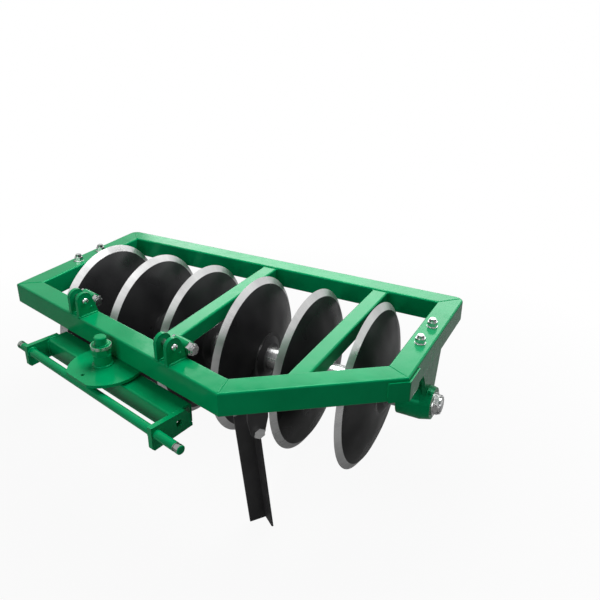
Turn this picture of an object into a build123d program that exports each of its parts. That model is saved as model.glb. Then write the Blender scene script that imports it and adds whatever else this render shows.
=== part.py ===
from build123d import *
import os
from math import acos, atan2, cos, radians, sin, sqrt, tan

os.makedirs("parts", exist_ok=True)

# Disc harrow gang section with a swivel hitch and a parking stand. Millimetres.
# X runs along the gang axle, Y rearwards, Z up. The pieces are drawn about the gang axle's
# middle, on the ground, and the finished assembly is moved so that its plan centre is the origin.

# ---------------------------------------------------------------- driving dimensions
# Gang of discs
DISC_COUNT = 6
DISC_DIAMETER = 610
DISC_SPACING = 240
GANG_SHIFT = 14
DISC_THICKNESS = 6
DISC_DISH = 58
DISC_FLAT_RADIUS = 100
DISC_BEVEL = 25
DISC_EDGE = 1.5
SHAFT_SQUARE = 41
SHAFT_THREAD_RADIUS = 20
SHAFT_END_PAST_NUT = 3
JOURNAL_WALL = 11.5
HUB_FLANGE_RADIUS = 85
HUB_FLANGE_TOP_RADIUS = 59
HUB_FLANGE_THICKNESS = 12
SPOOL_RADIUS = 45
SPOOL_FLANGE_RADIUS = 62
SPOOL_FLANGE_THICKNESS = 9
SHAFT_WASHER_RADIUS = 43
SHAFT_WASHER_THICKNESS = 5
SHAFT_NUT_FLATS = 68
SHAFT_NUT_HEIGHT = 21

# Box-section frame
# The frame follows the gang: the space past the outermost disc's place in the row, the height of
# the discs over the rails' underside, how far the rear rail's inner face lies within the discs'
# reach, and how far the front corners lie past it.
FRAME_END_SPACE = 180
DISC_OVER_RAILS = 129
REAR_IN_DISCS = 45
LEFT_FRONT_PAST_DISCS = 53
RIGHT_FRONT_PAST_DISCS = -20
FRONT_RAIL_LENGTH = 1143
FRONT_RAIL_ANGLE = 13.6
RAIL_SIZE = 80
RAIL_WALL = 5
RAIL_EDGE_RADIUS = 7
REAR_CORNER_RADIUS = 34
CROSS_SIZE = 60
CROSS_DROP = 3
CROSS_PLACES = (0, 2)
CORNER_PLATE_THICKNESS = 6
CORNER_PLATE_HEIGHT = 67
CORNER_PLATE_DROP = 11
CORNER_PLATE_LEGS = (62, 85)
CORNER_PLATE_ROUNDING = 14

# Bearing housings under the end rails
HOUSING_RADIUS = 65
HOUSING_TAPER = 37
HOUSING_TAPER_DEPTH = 9
HOUSING_PAST_RAIL = 10
HOUSING_LENGTH = 117
HANGER_FLANGE_FRONT = 112
HANGER_FLANGE_REAR = 120
HANGER_FLANGE_THICKNESS = 14
HANGER_WEB_OUT = 23
HANGER_WEB_THICKNESS = 12
HANGER_WEB_WAIST = 64
HANGER_RIB_THICKNESS = 14
BEARING_BOLT_RADIUS = 10
BEARING_BOLT_SPACING = 130
BEARING_BOLT_FLATS = 30
BEARING_NUT_HEIGHT = 18
BEARING_NUT_COLLAR = 7
BEARING_BOLT_PAST_NUT = 4

# Lugs on the front rail, and the sleeves behind them
LUG_MIDDLE_S = 650
LUG_SPREAD = 482
LUG_WIDTH = 62
LUG_EAR_THICKNESS = 14
LUG_TOP_RADIUS = 29
LUG_PIN_HEIGHT = 56
LUG_PIN_RADIUS = 11
SLEEVE_RADIUS = 22
SLEEVE_LENGTH = 66
SLEEVE_HEIGHT = 23
SLEEVE_PIN_RADIUS = 12
SLEEVE_NUT_FLATS = 38
SLEEVE_NUT_HEIGHT = 22
SLEEVE_SHIFT = (-45, -6)

# Turntable and swivel hitch
KINGPIN_S = 640
KINGPIN_OFFSET = 47
KINGPIN_RADIUS = 20
KINGPIN_TOP = 21
BOSS_RADIUS = 29
BOSS_HEIGHT = 38
KINGPIN_NUT_FLATS = 54
KINGPIN_NUT_HEIGHT = 34
KINGPIN_NUT_RING_RADIUS = 34
KINGPIN_NUT_RING_HEIGHT = 10
TURNTABLE_S = 657
HITCH_S = 667
TURNTABLE_RADIUS = 124
TURNTABLE_CHORD = 158
TURNTABLE_THICKNESS = 10
TURNTABLE_HOLE = (-4, -132)
TURNTABLE_HOLE_RADIUS = 6
LOWER_PLATE_RADIUS = 105
LOWER_PLATE_THICKNESS = 8
CHANNEL_WIDTH = 83
CHANNEL_LENGTH = 682
CHANNEL_DEPTH = 64
CHANNEL_WALL = 8
CHANNEL_FRONT = 69
SIDE_PLATE_THICKNESS = 18
SIDE_PLATE_FRONT_DEPTH = 79
SIDE_PLATE_REAR_DEPTH = 66
SIDE_PLATE_RISE = 3
SIDE_PLATE_FRONT = 151
SIDE_PLATE_CORNER = 8
# The notch: where its top starts, its step forward, and its start and end down the rear edge.
SIDE_PLATE_NOTCH = (24, 7, 20, 55)
SIDE_PLATE_HOLE_RADIUS = 11
SIDE_PLATE_HOLE = (-50, -30)
PIVOT_BAR_RADIUS = 15
PIVOT_BAR_SHOULDERS = (1, 0.5)
PIVOT_BAR_OFFSET = 132
PIVOT_BAR_DROP = 24
PIVOT_BAR_ENDS = (66, 109)
PIVOT_BAR_CHAMFER = 2.5
PIVOT_BAR_GROOVE_WIDTH = 9
PIVOT_BAR_GROOVE_DEPTH = 2
PIVOT_BAR_GROOVE_INSET = 14

# Parking stand under the angled rail
# The hinge bolt's place: from the front corner along the rail, in from its outer face, and down.
STAND_ALONG = 96.071
STAND_IN = 91.969
STAND_DROP = 76
STAND_AZIMUTH = -36
STAND_LEAN = 6
STAND_WIDE_FLANGE = 60
STAND_NARROW_FLANGE = 56
STAND_WALL = 6
STAND_HEEL = 12
STAND_TOP = 30
STAND_CUT_BELOW = 34
STAND_BOLT_RADIUS = 8
STAND_BOLT_FLATS = 32
STAND_BOLT_HEAD = 13
STAND_SPACER_RADIUS = 13
STAND_EAR_RADIUS = 24
STAND_EAR_BASE = 66
STAND_EAR_SHOULDER = 32
STAND_EAR_THICKNESS = 8
STAND_CLEVIS_WIDTH = 66
STAND_BASE_THICKNESS = 10

# Clearances
RUNNING_FIT = 0.05
FACE_GAP = 0.4
HOLE_CLEARANCE = 0.5

# ---------------------------------------------------------------- derived sizes
disc_radius = DISC_DIAMETER / 2
axle_z = disc_radius
frame_bottom = DISC_DIAMETER - DISC_OVER_RAILS
frame_top = frame_bottom + RAIL_SIZE
hub_x = [GANG_SHIFT + DISC_SPACING * (i - (DISC_COUNT - 1) / 2) for i in range(DISC_COUNT)]
frame_half_length = DISC_SPACING * (DISC_COUNT - 1) / 2 + FRAME_END_SPACE
frame_rear_y = disc_radius - REAR_IN_DISCS + RAIL_SIZE
end_rail_x = frame_half_length - RAIL_SIZE / 2
housing_outer_x = frame_half_length + HOUSING_PAST_RAIL
housing_inner_x = housing_outer_x - HOUSING_LENGTH
housing_face_radius = HOUSING_RADIUS - HOUSING_TAPER_DEPTH
journal_radius = SHAFT_SQUARE / 2 + JOURNAL_WALL
journal_end = housing_outer_x + FACE_GAP

left_front = Vector(-frame_half_length, -disc_radius - LEFT_FRONT_PAST_DISCS)
right_front = Vector(frame_half_length, -disc_radius - RIGHT_FRONT_PAST_DISCS)
front_dir = Vector(cos(radians(FRONT_RAIL_ANGLE)), -sin(radians(FRONT_RAIL_ANGLE)))
front_apex = left_front + front_dir * FRONT_RAIL_LENGTH
left_rear = Vector(-frame_half_length, frame_rear_y)
right_rear = Vector(frame_half_length, frame_rear_y)

# Local axes of the front rail: X along it from its left corner, Y rearwards from its front face,
# Z up from the frame's top.
front_rail_plane = Plane(
    origin=(left_front.X, left_front.Y, frame_top), x_dir=(front_dir.X, front_dir.Y, 0), z_dir=(0, 0, 1))
front_rail_place = front_rail_plane.location
channel_top = -RAIL_SIZE - TURNTABLE_THICKNESS - FACE_GAP - LOWER_PLATE_THICKNESS
side_face = CHANNEL_LENGTH / 2 + SIDE_PLATE_THICKNESS
bar_ends = [(-1, PIVOT_BAR_ENDS[0], PIVOT_BAR_RADIUS - PIVOT_BAR_SHOULDERS[0]),
            (1, PIVOT_BAR_ENDS[1], PIVOT_BAR_RADIUS - PIVOT_BAR_SHOULDERS[1])]


# ---------------------------------------------------------------- shared shapes
def along_x(shape):
    """Turns a shape drawn about Z so that it lies about X."""
    return Rot(0, 90, 0) * shape


def cylinder(radius, start, end):
    """A cylinder about Z from one height to the other."""
    return Pos(0, 0, start) * Cylinder(radius, end - start, align=(Align.CENTER, Align.CENTER, Align.MIN))


def hexagon(flats, start, end):
    """A chamfered hexagon prism about Z, given its width across flats."""
    prism = extrude(RegularPolygon(flats / 2, 6, major_radius=False), end - start)
    corner = flats / sqrt(3)
    cone = Cone(corner + (end - start), corner - 0.07 * flats, end - start + 0.07 * flats,
                align=(Align.CENTER, Align.CENTER, Align.MIN))
    return Pos(0, 0, start) * (prism & cone)


def castle_nut(flats, height, bore_radius):
    """A slotted nut about Z, standing on Z = 0 with its slotted crown up."""
    crown_height = height * 0.32
    nut = hexagon(flats, 0, height - crown_height)
    nut += cylinder(flats * 0.46, height - crown_height, height)
    for turn in (0, 60, 120):
        slot = Box(flats * 1.2, flats * 0.12, crown_height + 1, align=(Align.CENTER, Align.CENTER, Align.MAX))
        nut -= Rot(0, 0, turn) * (Pos(0, 0, height + 1) * slot)
    return nut - cylinder(bore_radius, -1, height + 1)


def plan_polygon(points):
    """A plan outline through the given corners."""
    return make_face(Polyline(*[(p.X, p.Y) for p in points], close=True))


def inset_corners(corners, distance):
    """The corners of a closed anticlockwise outline whose sides all move inwards."""
    moved = []
    for i, corner in enumerate(corners):
        before = (corner - corners[i - 1]).normalized()
        after = (corners[(i + 1) % len(corners)] - corner).normalized()
        bisector = (after - before).normalized()
        half_angle_sine = abs(before.X * bisector.Y - before.Y * bisector.X)
        moved.append(corner + bisector * (distance / half_angle_sine))
    return moved


# ---------------------------------------------------------------- gang
def sphere_x(radius, sphere_radius, centre_x):
    """X of a sphere's far side, the given distance from the axle."""
    return centre_x + sqrt(sphere_radius**2 - radius**2)


def square_hole(length):
    """The hole that fits the square shaft, about Z from below 0 to past the given length."""
    size = SHAFT_SQUARE + 2 * HOLE_CLEARANCE
    return Pos(0, 0, length / 2) * Box(size, size, length + 2)


def disc_blade():
    """A blade about X, dished between two concentric spheres, with a flat centre, a ground bevel on
    its bulging side and a square hole."""
    hollow_x = -DISC_THICKNESS / 2
    rim_x = hollow_x - DISC_DISH
    edge_radius = disc_radius - DISC_EDGE
    centre_x = ((rim_x**2 + edge_radius**2) - (hollow_x**2 + DISC_FLAT_RADIUS**2)) / (2 * (rim_x - hollow_x))
    hollow_radius = sqrt((rim_x - centre_x) ** 2 + edge_radius**2)
    bulge_radius = hollow_radius + DISC_THICKNESS
    bevel_x = sphere_x(disc_radius - DISC_BEVEL, bulge_radius, centre_x)
    bevel_slope = DISC_BEVEL / (bevel_x - rim_x)
    depth = DISC_THICKNESS + DISC_DISH
    blade = along_x(Cone(disc_radius, disc_radius - bevel_slope * depth, depth,
                         align=(Align.CENTER, Align.CENTER, Align.MIN)))
    # The spheres are turned so that their seams lie on the side away from the blade.
    sphere_place = Pos(centre_x - rim_x, 0, 0) * Rot(0, 0, 180)
    blade &= sphere_place * Sphere(bulge_radius)
    blade -= along_x(cylinder(disc_radius + 1, -1, DISC_DISH)) & sphere_place * Sphere(hollow_radius)
    return Pos(rim_x, 0, 0) * (blade - along_x(square_hole(depth)))


def hub_flange():
    """A bell-shaped flange about Z that stands on a disc's bulging face."""
    flange = Cone(HUB_FLANGE_RADIUS, HUB_FLANGE_TOP_RADIUS, HUB_FLANGE_THICKNESS,
                  align=(Align.CENTER, Align.CENTER, Align.MIN))
    return flange - square_hole(HUB_FLANGE_THICKNESS)


def spool(length):
    """A turned tube about Z with a flange at the end that meets the next disc's hollow face."""
    tube = cylinder(SPOOL_RADIUS, 0, length)
    tube += cylinder(SPOOL_FLANGE_RADIUS, length - SPOOL_FLANGE_THICKNESS, length)
    return tube - square_hole(length)


def end_sleeve(inner_end):
    """The sleeve from the outermost disc's hub into the bearing, with a journal on its outer end."""
    journal_start = housing_inner_x - FACE_GAP
    sleeve = cylinder(SPOOL_RADIUS, inner_end, journal_start)
    sleeve += cylinder(journal_radius, journal_start, journal_end)
    return sleeve - Pos(0, 0, inner_end) * square_hole(journal_end - inner_end)


def gang():
    """Every piece that turns with the axle."""
    face = DISC_THICKNESS / 2
    pieces = {}
    for number, x in enumerate(hub_x, start=1):
        pieces[f"disc_{number}"] = Pos(x, 0, axle_z) * disc_blade()
        pieces[f"hub_flange_{number}"] = Pos(x + face, 0, axle_z) * along_x(hub_flange())
    spool_start = face + HUB_FLANGE_THICKNESS
    spool_length = DISC_SPACING - spool_start - face
    for number, x in enumerate(hub_x[:-1], start=1):
        pieces[f"spool_{number}"] = Pos(x + spool_start, 0, axle_z) * along_x(spool(spool_length))

    washer = cylinder(SHAFT_WASHER_RADIUS, 0, SHAFT_WASHER_THICKNESS)
    washer -= cylinder(SHAFT_THREAD_RADIUS + HOLE_CLEARANCE, -1, SHAFT_WASHER_THICKNESS + 1)
    nut_x = journal_end + SHAFT_WASHER_THICKNESS
    nut = castle_nut(SHAFT_NUT_FLATS, SHAFT_NUT_HEIGHT, SHAFT_THREAD_RADIUS + RUNNING_FIT)
    thread = cylinder(SHAFT_THREAD_RADIUS, journal_end, nut_x + SHAFT_NUT_HEIGHT + SHAFT_END_PAST_NUT)
    thread = chamfer(thread.edges().group_by(Axis.Z)[-1], 3)
    shaft = Pos(0, 0, axle_z) * Box(2 * journal_end, SHAFT_SQUARE, SHAFT_SQUARE)
    for side, name, sleeve_start in ((-1, "left", face - hub_x[0]), (1, "right", hub_x[-1] + spool_start)):
        out = Pos(0, 0, axle_z) * Rot(0, 90 * side, 0)
        pieces[f"end_sleeve_{name}"] = out * end_sleeve(sleeve_start)
        pieces[f"shaft_washer_{name}"] = out * (Pos(0, 0, journal_end) * washer)
        pieces[f"shaft_nut_{name}"] = out * (Pos(0, 0, nut_x) * nut)
        shaft += out * thread
    pieces["gang_shaft"] = shaft
    return pieces


# ---------------------------------------------------------------- frame
outer_corners = [left_front, front_apex, right_front, right_rear, left_rear]
inner_corners = inset_corners(outer_corners, RAIL_SIZE)
rail_names = ["front_rail", "angled_rail", "right_rail", "rear_rail", "left_rail"]


def box_loop():
    """The closed loop of box section, hollow, before it is mitred into rails."""
    outline = plan_polygon(outer_corners)
    rear_points = [v for v in outline.vertices() if v.Y > frame_rear_y - 1]
    outline = fillet(rear_points, REAR_CORNER_RADIUS)
    bar = extrude(outline - plan_polygon(inner_corners), RAIL_SIZE)
    rims = bar.edges().filter_by(lambda e: abs(e.center().Z) < 1e-6 or abs(e.center().Z - RAIL_SIZE) < 1e-6)
    bar = fillet(rims, RAIL_EDGE_RADIUS)
    void_outline = plan_polygon(inset_corners(outer_corners, RAIL_WALL))
    rear_points = [v for v in void_outline.vertices() if v.Y > frame_rear_y - RAIL_WALL - 1]
    void_outline = fillet(rear_points, REAR_CORNER_RADIUS - RAIL_WALL)
    void_outline -= plan_polygon(inset_corners(outer_corners, RAIL_SIZE - RAIL_WALL))
    void = Pos(0, 0, RAIL_WALL) * extrude(void_outline, RAIL_SIZE - 2 * RAIL_WALL)
    return Pos(0, 0, frame_bottom) * (bar - void)


def rails():
    """The five rails, cut from the loop along its mitre lines."""
    loop = box_loop()
    wide = inset_corners(outer_corners, -60)
    deep = inset_corners(outer_corners, RAIL_SIZE + 60)
    for side in (-1, 1):
        for y in (-BEARING_BOLT_SPACING / 2, BEARING_BOLT_SPACING / 2):
            hole = cylinder(BEARING_BOLT_RADIUS + HOLE_CLEARANCE, frame_bottom - 1, frame_top + 1)
            loop -= Pos(side * end_rail_x, y, 0) * hole
    pieces = {}
    for i, name in enumerate(rail_names):
        j = (i + 1) % len(rail_names)
        wedge = extrude(plan_polygon([wide[i], wide[j], deep[j], deep[i]]), 2 * RAIL_SIZE)
        pieces[name] = loop & (Pos(0, 0, frame_bottom - RAIL_SIZE / 2) * wedge)
    return pieces


def cross_members():
    """Square tubes from the front rails to the rear rail, trimmed to the faces they meet."""
    opening = Pos(0, 0, frame_bottom) * extrude(plan_polygon(inner_corners), RAIL_SIZE)
    length = 2 * (frame_rear_y + FRONT_RAIL_LENGTH)
    pieces = {}
    for number, place in enumerate(CROSS_PLACES, start=1):
        tube = Box(CROSS_SIZE, length, CROSS_SIZE)
        tube = fillet(tube.edges().filter_by(Axis.Y), RAIL_EDGE_RADIUS)
        tube -= Box(CROSS_SIZE - 2 * RAIL_WALL, length, CROSS_SIZE - 2 * RAIL_WALL)
        tube = Pos(place * DISC_SPACING, 0, frame_top - CROSS_DROP - CROSS_SIZE / 2) * tube
        pieces[f"cross_member_{number}"] = tube & opening
    return pieces


def corner_plate():
    """A bent plate round the outside of the right front corner."""
    along_angled, along_right = CORNER_PLATE_LEGS
    back = (front_apex - right_front).normalized()
    inner = [right_front + back * along_angled, right_front, right_front + Vector(0, along_right)]
    out_angled = Vector(-back.Y, back.X) * CORNER_PLATE_THICKNESS
    out_right = Vector(CORNER_PLATE_THICKNESS, 0)
    if out_angled.Y > 0:
        out_angled = -out_angled
    middle = (out_angled + out_right).normalized()
    stretch = CORNER_PLATE_THICKNESS / middle.dot(Vector(1, 0))
    outer = [inner[2] + out_right, right_front + middle * stretch, inner[0] + out_angled]
    plate = extrude(plan_polygon(inner + outer), CORNER_PLATE_HEIGHT)
    plate = Pos(0, 0, frame_top - CORNER_PLATE_DROP - CORNER_PLATE_HEIGHT) * plate
    bend = plate.edges().filter_by(Axis.Z).sort_by_distance((outer[1].X, outer[1].Y, plate.center().Z))[0]
    plate = fillet(bend, CORNER_PLATE_THICKNESS)
    low_corner = plate.edges().filter_by(Axis.X).group_by(Axis.Z)[0].sort_by(Axis.Y)[-1]
    return fillet(low_corner, CORNER_PLATE_ROUNDING)


def bearing_housing(side):
    """A cast bearing housing with its hanger and bolting flange, on the side +1 or -1."""
    taper_x = housing_outer_x - HOUSING_TAPER
    web_middle = end_rail_x + HANGER_WEB_OUT
    web_x = web_middle - HANGER_WEB_THICKNESS / 2
    barrel = cylinder(HOUSING_RADIUS, housing_inner_x, taper_x)
    barrel += Pos(0, 0, taper_x) * Cone(HOUSING_RADIUS, housing_face_radius, HOUSING_TAPER,
                                        align=(Align.CENTER, Align.CENTER, Align.MIN))
    casting = along_x(barrel)
    flange_top = frame_bottom - axle_z
    flange_low = flange_top - HANGER_FLANGE_THICKNESS
    flange_x = end_rail_x - RAIL_SIZE / 2
    flange = Box(web_x + HANGER_WEB_THICKNESS - flange_x, HANGER_FLANGE_FRONT + HANGER_FLANGE_REAR,
                 HANGER_FLANGE_THICKNESS, align=(Align.MIN, Align.MIN, Align.MAX))
    casting += Pos(flange_x, -HANGER_FLANGE_FRONT, flange_top) * flange

    # The web stands square to the axle. Its front edge is waisted halfway down, and its rear edge
    # runs straight from the flange to the barrel's rear.
    front_top = (-HANGER_FLANGE_FRONT + HANGER_WEB_THICKNESS, flange_low)
    waist = (-HANGER_WEB_WAIST, (flange_low + housing_face_radius) / 2)
    front_foot = (-0.75 * housing_face_radius, 0.75 * housing_face_radius)
    rear_foot = (housing_face_radius, 0)
    rear_top = (HANGER_FLANGE_REAR - HANGER_WEB_THICKNESS, flange_low)
    outline = ThreePointArc(front_top, waist, front_foot)
    outline += Polyline(front_foot, rear_foot, rear_top, front_top)
    web = extrude(make_face(Plane.YZ * outline), HANGER_WEB_THICKNESS, dir=(1, 0, 0))
    casting += Pos(web_x, 0, 0) * web

    # The rib lies along the axle, between the two bolts.
    rib = make_face(Plane.XZ * Polyline(
        (web_middle, flange_low), (flange_x, flange_low),
        (housing_inner_x + HANGER_RIB_THICKNESS, housing_face_radius), (web_middle, housing_face_radius),
        close=True))
    casting += extrude(rib, HANGER_RIB_THICKNESS / 2, both=True)
    casting -= along_x(cylinder(journal_radius + RUNNING_FIT, housing_inner_x - 1, housing_outer_x + 1))
    for y in (-BEARING_BOLT_SPACING / 2, BEARING_BOLT_SPACING / 2):
        hole = cylinder(BEARING_BOLT_RADIUS + HOLE_CLEARANCE, flange_low - 1, flange_top + 1)
        casting -= Pos(end_rail_x, y, 0) * hole
    casting = Pos(0, 0, axle_z) * casting
    return casting if side > 0 else mirror(casting, Plane.YZ)


def bearing_bolts(side):
    """Two long bolts up through the end rail, with heads under the flange and lock nuts on top.
    Their flats face the web."""
    head_z = frame_bottom - HANGER_FLANGE_THICKNESS
    nut_top = frame_top + BEARING_NUT_HEIGHT
    collar_top = nut_top + BEARING_NUT_COLLAR
    bolt = cylinder(BEARING_BOLT_RADIUS, head_z - 1, collar_top + BEARING_BOLT_PAST_NUT)
    bolt += hexagon(BEARING_BOLT_FLATS, head_z - 1.3 * BEARING_BOLT_RADIUS, head_z)
    bolt += hexagon(BEARING_BOLT_FLATS, frame_top, nut_top)
    bolt += cylinder(1.3 * BEARING_BOLT_RADIUS, nut_top, collar_top)
    bolt = Rot(0, 0, 30) * bolt
    half = BEARING_BOLT_SPACING / 2
    return Compound(children=[Pos(side * end_rail_x, y, 0) * bolt for y in (-half, half)])


# ---------------------------------------------------------------- lugs and sleeves
def lug_ears():
    """Two ears across the front rail, about the lug's middle. Each has a round top about the pin,
    an upright front edge, and a rear edge that slopes down to the rail's rear."""
    tangent = (pin_y + LUG_TOP_RADIUS * cos(tangent_angle),
               LUG_PIN_HEIGHT + LUG_TOP_RADIUS * sin(tangent_angle))
    outline = make_face(Plane.YZ * Polyline(
        (1, 0), (lug_foot_y, 0), tangent, (pin_y, LUG_PIN_HEIGHT), (1, LUG_PIN_HEIGHT), close=True))
    outline += Plane.YZ * (Pos(pin_y, LUG_PIN_HEIGHT) * Circle(LUG_TOP_RADIUS))
    outline -= Plane.YZ * (Pos(pin_y, LUG_PIN_HEIGHT) * Circle(LUG_PIN_RADIUS + HOLE_CLEARANCE / 2))
    ear = extrude(outline, LUG_EAR_THICKNESS, dir=(1, 0, 0))
    ears = []
    for x in (-LUG_WIDTH / 2, LUG_WIDTH / 2 - LUG_EAR_THICKNESS):
        ears.append(Pos(x, 0, 0) * ear)
    return Compound(children=ears)


def lug_pin():
    """A headed pin through both ears, with a nut."""
    half = LUG_WIDTH / 2
    pin = cylinder(LUG_PIN_RADIUS, -half - 1, half + 4)
    pin += hexagon(3 * LUG_PIN_RADIUS, -half - 12, -half)
    pin = along_x(pin)
    return Pos(0, pin_y, LUG_PIN_HEIGHT) * pin


def link_sleeve(shift):
    """A cross tube welded behind the ears, with its end moved along the rail."""
    tube = cylinder(SLEEVE_RADIUS, -SLEEVE_LENGTH / 2, SLEEVE_LENGTH / 2)
    tube -= cylinder(SLEEVE_PIN_RADIUS + HOLE_CLEARANCE / 2, -SLEEVE_LENGTH, SLEEVE_LENGTH)
    return Pos(shift, sleeve_offset, SLEEVE_HEIGHT) * along_x(tube)


def link_pin(shift):
    """The sleeve's headed pin with its slotted nut."""
    half = SLEEVE_LENGTH / 2
    pin = cylinder(SLEEVE_PIN_RADIUS, -half - 1, half + SLEEVE_NUT_HEIGHT + 3)
    pin += hexagon(3 * SLEEVE_PIN_RADIUS, -half - 12, -half)
    nut = castle_nut(SLEEVE_NUT_FLATS, SLEEVE_NUT_HEIGHT, SLEEVE_PIN_RADIUS * 0.98)
    pin += Pos(0, 0, half) * nut
    return Pos(shift, sleeve_offset, SLEEVE_HEIGHT) * along_x(pin)


# The ears' rear edge leaves their round top at a tangent, and the sleeve rests against it.
pin_y = LUG_TOP_RADIUS + 1
lug_foot_y = RAIL_SIZE - 1
foot_run = lug_foot_y - pin_y
foot_distance = sqrt(foot_run**2 + LUG_PIN_HEIGHT**2)
tangent_angle = acos(LUG_TOP_RADIUS / foot_distance) - atan2(LUG_PIN_HEIGHT, foot_run)
sleeve_offset = lug_foot_y - SLEEVE_HEIGHT * tan(tangent_angle) + SLEEVE_RADIUS / cos(tangent_angle)


# ---------------------------------------------------------------- turntable and hitch
# These lie in the front rail's axes.
def turntable_plate():
    """The round plate under the front rail, cut straight at its front."""
    outline = Pos(0, -KINGPIN_OFFSET) * Circle(TURNTABLE_RADIUS)
    beyond = Rectangle(3 * TURNTABLE_RADIUS, 2 * TURNTABLE_RADIUS)
    outline -= Pos(0, -TURNTABLE_CHORD - TURNTABLE_RADIUS) * beyond
    outline -= Pos(KINGPIN_S - TURNTABLE_S, -KINGPIN_OFFSET) * Circle(KINGPIN_RADIUS + RUNNING_FIT)
    outline -= Pos(*TURNTABLE_HOLE) * Circle(TURNTABLE_HOLE_RADIUS)
    return Pos(TURNTABLE_S, 0, -RAIL_SIZE - TURNTABLE_THICKNESS) * extrude(outline, TURNTABLE_THICKNESS)


def kingpin_boss():
    """The boss that carries the kingpin, welded on the turntable plate."""
    boss = cylinder(BOSS_RADIUS, 0, BOSS_HEIGHT)
    boss = chamfer(boss.edges().group_by(Axis.Z)[-1], 3)
    boss -= cylinder(KINGPIN_RADIUS + RUNNING_FIT, -1, BOSS_HEIGHT + 1)
    return Pos(KINGPIN_S, -KINGPIN_OFFSET, -RAIL_SIZE) * boss


def kingpin():
    """The kingpin, welded into the lower turntable plate."""
    pin = cylinder(KINGPIN_RADIUS, channel_top, KINGPIN_TOP)
    pin = chamfer(pin.edges().group_by(Axis.Z)[-1], 3)
    return Pos(KINGPIN_S, -KINGPIN_OFFSET, 0) * pin


def kingpin_nut():
    """The slotted nut on the kingpin, with a flange ring round its crown."""
    start = -RAIL_SIZE + BOSS_HEIGHT + FACE_GAP
    nut = hexagon(KINGPIN_NUT_FLATS, 0, KINGPIN_NUT_HEIGHT)
    nut += cylinder(KINGPIN_NUT_RING_RADIUS, KINGPIN_NUT_HEIGHT - KINGPIN_NUT_RING_HEIGHT, KINGPIN_NUT_HEIGHT)
    nut -= cylinder(KINGPIN_RADIUS + RUNNING_FIT, -1, KINGPIN_NUT_HEIGHT + 1)
    return Pos(KINGPIN_S, -KINGPIN_OFFSET, start) * nut


def lower_plate():
    """The lower turntable plate, welded on the channel."""
    outline = Pos(0, -KINGPIN_OFFSET) * Circle(LOWER_PLATE_RADIUS)
    outline -= Pos(0, -KINGPIN_OFFSET) * Circle(KINGPIN_RADIUS)
    return Pos(KINGPIN_S, 0, channel_top) * extrude(outline, LOWER_PLATE_THICKNESS)


def hitch_channel():
    """The wide channel, open downwards, that ties the side plates."""
    middle_y = -CHANNEL_FRONT + CHANNEL_WIDTH / 2
    channel = Box(CHANNEL_LENGTH, CHANNEL_WIDTH, CHANNEL_DEPTH, align=(Align.CENTER, Align.CENTER, Align.MAX))
    top_edges = channel.edges().filter_by(Axis.X).group_by(Axis.Z)[-1]
    channel = fillet(top_edges, 6)
    trough = Box(CHANNEL_LENGTH + 2, CHANNEL_WIDTH - 2 * CHANNEL_WALL, CHANNEL_DEPTH,
                 align=(Align.CENTER, Align.CENTER, Align.MAX))
    channel -= Pos(0, 0, -CHANNEL_WALL) * trough
    return Pos(HITCH_S, middle_y, channel_top) * channel


def side_plate(side):
    """An end plate of the hitch frame, deeper at its front, with its upper rear corner notched.
    The right one has a hole."""
    top = SIDE_PLATE_RISE
    low_front = top - SIDE_PLATE_FRONT_DEPTH
    low_rear = top - SIDE_PLATE_REAR_DEPTH
    corner, step, notch_top, notch_low = SIDE_PLATE_NOTCH
    outline = make_face(Plane.YZ * Polyline(
        (-SIDE_PLATE_FRONT, top), (-corner, top), (-step, top - notch_top), (-step, top - notch_low + step),
        (0, top - notch_low), (0, low_rear), (-SIDE_PLATE_FRONT + SIDE_PLATE_CORNER, low_front),
        (-SIDE_PLATE_FRONT, low_front + SIDE_PLATE_CORNER), close=True))
    bar_hole = Circle(PIVOT_BAR_RADIUS + RUNNING_FIT)
    outline -= Plane.YZ * (Pos(-PIVOT_BAR_OFFSET, -PIVOT_BAR_DROP) * bar_hole)
    if side > 0:
        outline -= Plane.YZ * (Pos(*SIDE_PLATE_HOLE) * Circle(SIDE_PLATE_HOLE_RADIUS))
    plate = extrude(outline, SIDE_PLATE_THICKNESS, dir=(1, 0, 0))
    inner = CHANNEL_LENGTH / 2
    start = inner if side > 0 else -inner - SIDE_PLATE_THICKNESS
    return Pos(HITCH_S + start, 0, channel_top) * plate


def pivot_bar():
    """The round hitch bar. Its ends past the side plates are turned down, and grooved for a clip."""
    bar = cylinder(PIVOT_BAR_RADIUS, -side_face, side_face)
    for side, length, radius in bar_ends:
        end = cylinder(radius, 0, length)
        end = chamfer(end.edges().group_by(Axis.Z)[-1], PIVOT_BAR_CHAMFER)
        groove_end = length - PIVOT_BAR_GROOVE_INSET
        groove_start = groove_end - PIVOT_BAR_GROOVE_WIDTH
        ring = cylinder(radius + 1, groove_start, groove_end)
        ring -= cylinder(radius - PIVOT_BAR_GROOVE_DEPTH, groove_start - 1, groove_end + 1)
        bar += Pos(0, 0, side * side_face) * Rot(0, 90 - 90 * side, 0) * (end - ring)
    return Pos(HITCH_S, -PIVOT_BAR_OFFSET, channel_top - PIVOT_BAR_DROP) * along_x(bar)


# ---------------------------------------------------------------- parking stand
# Its axes: X out along the hinge bolt, Y rearwards across it, origin on the bolt.
angled_dir = (right_front - front_apex).normalized()
hinge = front_apex + angled_dir * STAND_ALONG + Vector(-angled_dir.Y, angled_dir.X) * STAND_IN
hinge_z = frame_bottom - STAND_DROP
stand_place = Pos(hinge.X, hinge.Y, hinge_z) * Rot(0, 0, STAND_AZIMUTH)


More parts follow.
